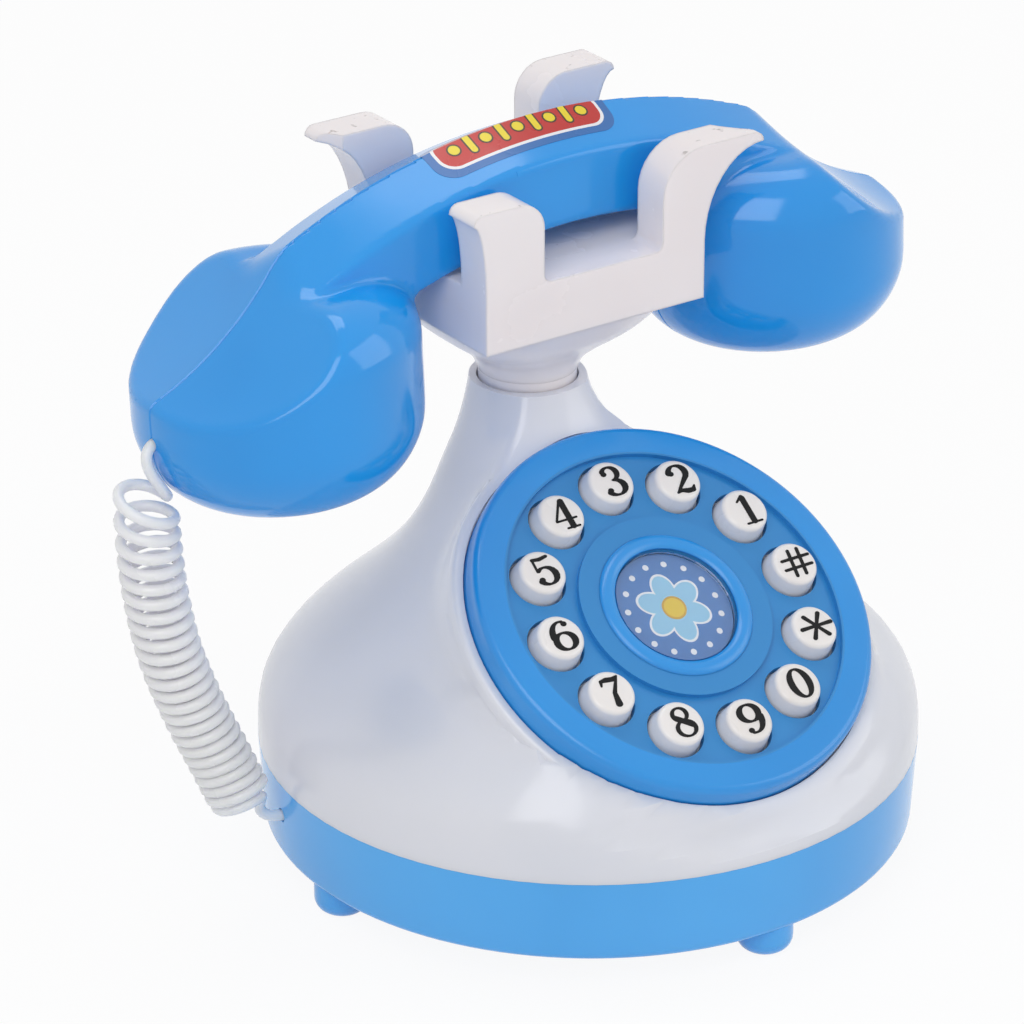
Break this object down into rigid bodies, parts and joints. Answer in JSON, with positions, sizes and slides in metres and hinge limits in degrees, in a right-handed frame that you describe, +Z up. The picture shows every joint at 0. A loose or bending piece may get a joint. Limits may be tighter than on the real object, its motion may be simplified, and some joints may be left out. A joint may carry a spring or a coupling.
{
  "type": "toy telephone",
  "caption": "Round-based table telephone with a bell-shaped body, tilted push-button dial, sprung hook, curved two-bowl handset and a curly cord.",
  "frame": {"origin": "centre of the round base at the level of the feet", "axes": "+Z up, the dial faces -Y, the handset lies along X with its cord at -X"},
  "size_m": [0.1627, 0.118, 0.1313],
  "materials": {
    "blue_plastic": "glossy moulded blue",
    "dial_blue": "satin moulded blue",
    "white_plastic": "glossy moulded white",
    "ivory_plastic": "semi-gloss warm white",
    "button_white": "semi-gloss warm white",
    "clear_lens": "clear moulded plastic",
    "printed_card": "printed card",
    "grey_rubber": "matt",
    "green_board": "matt",
    "lamp": "milky",
    "steel": "plated",
    "spring_steel": "bright",
    "cell_jacket": "printed jacket",
    "black_paper": "matt",
    "black_plastic": "satin",
    "cord_white": "glossy, slightly see-through"
  },
  "bodies": {
    "housing": {"base_tub": "blue_plastic", "battery_door": "blue_plastic", "battery_door_screw": "steel", "batteries": "cell_jacket", "battery_contacts": "spring_steel", "speaker": "black_paper", "case_screws": "steel", "body_shell": "white_plastic", "dial_face": "dial_blue", "dial_lens": "clear_lens", "dial_picture": "printed_card", "button_mat": "grey_rubber", "sound_board": "green_board", "board_screws": "steel", "picture_lamp": "lamp", "hook_spring": "spring_steel", "cord_coil": "cord_white", "cord_lead_base": "cord_white"},
    "button_hash": {"button_hash": "button_white"},
    "button_1": {"button_1": "button_white"},
    "button_2": {"button_2": "button_white"},
    "button_3": {"button_3": "button_white"},
    "button_4": {"button_4": "button_white"},
    "button_5": {"button_5": "button_white"},
    "button_6": {"button_6": "button_white"},
    "button_7": {"button_7": "button_white"},
    "button_8": {"button_8": "button_white"},
    "button_9": {"button_9": "button_white"},
    "button_0": {"button_0": "button_white"},
    "button_star": {"button_star": "button_white"},
    "power_switch": {"power_switch": "black_plastic"},
    "hook": {"hook": "ivory_plastic", "hook_washer": "steel", "hook_screw": "steel"},
    "handset": {"handset_front": "blue_plastic", "handset_back": "blue_plastic", "handset_screws": "steel", "cord_lead_top": "cord_white"}
  },
  "joints": [
    {"name": "button_hash_press", "type": "slide", "parent": "housing", "child": "button_hash", "axis": [0, 0.5807, -0.8141], "range_m": [0, 0.0015], "stiffness_N_per_m": 400, "springref_m": -0.0008},
    {"name": "button_1_press", "type": "slide", "parent": "housing", "child": "button_1", "axis": [0, 0.5807, -0.8141], "range_m": [0, 0.0015], "stiffness_N_per_m": 400, "springref_m": -0.0008},
    {"name": "button_2_press", "type": "slide", "parent": "housing", "child": "button_2", "axis": [0, 0.5807, -0.8141], "range_m": [0, 0.0015], "stiffness_N_per_m": 400, "springref_m": -0.0008},
    {"name": "button_3_press", "type": "slide", "parent": "housing", "child": "button_3", "axis": [0, 0.5807, -0.8141], "range_m": [0, 0.0015], "stiffness_N_per_m": 400, "springref_m": -0.0008},
    {"name": "button_4_press", "type": "slide", "parent": "housing", "child": "button_4", "axis": [0, 0.5807, -0.8141], "range_m": [0, 0.0015], "stiffness_N_per_m": 400, "springref_m": -0.0008},
    {"name": "button_5_press", "type": "slide", "parent": "housing", "child": "button_5", "axis": [0, 0.5807, -0.8141], "range_m": [0, 0.0015], "stiffness_N_per_m": 400, "springref_m": -0.0008},
    {"name": "button_6_press", "type": "slide", "parent": "housing", "child": "button_6", "axis": [0, 0.5807, -0.8141], "range_m": [0, 0.0015], "stiffness_N_per_m": 400, "springref_m": -0.0008},
    {"name": "button_7_press", "type": "slide", "parent": "housing", "child": "button_7", "axis": [0, 0.5807, -0.8141], "range_m": [0, 0.0015], "stiffness_N_per_m": 400, "springref_m": -0.0008},
    {"name": "button_8_press", "type": "slide", "parent": "housing", "child": "button_8", "axis": [0, 0.5807, -0.8141], "range_m": [0, 0.0015], "stiffness_N_per_m": 400, "springref_m": -0.0008},
    {"name": "button_9_press", "type": "slide", "parent": "housing", "child": "button_9", "axis": [0, 0.5807, -0.8141], "range_m": [0, 0.0015], "stiffness_N_per_m": 400, "springref_m": -0.0008},
    {"name": "button_0_press", "type": "slide", "parent": "housing", "child": "button_0", "axis": [0, 0.5807, -0.8141], "range_m": [0, 0.0015], "stiffness_N_per_m": 400, "springref_m": -0.0008},
    {"name": "button_star_press", "type": "slide", "parent": "housing", "child": "button_star", "axis": [0, 0.5807, -0.8141], "range_m": [0, 0.0015], "stiffness_N_per_m": 400, "springref_m": -0.0008},
    {"name": "power_switch_slide", "type": "slide", "parent": "housing", "child": "power_switch", "axis": [1, 0, 0], "range_m": [0, 0.004]},
    {"name": "handset_lift", "type": "slide", "parent": "housing", "child": "handset", "axis": [0, 0, 1], "range_m": [0, 0.06]},
    {"name": "hook_rise", "type": "slide", "parent": "housing", "child": "hook", "axis": [0, 0, 1], "range_m": [0, 0.003], "deforming": ["hook_spring"]}
  ],
  "couplings": [
    {"joint": "hook_rise", "follows": "handset_lift", "ratio": 0.05}
  ]
}
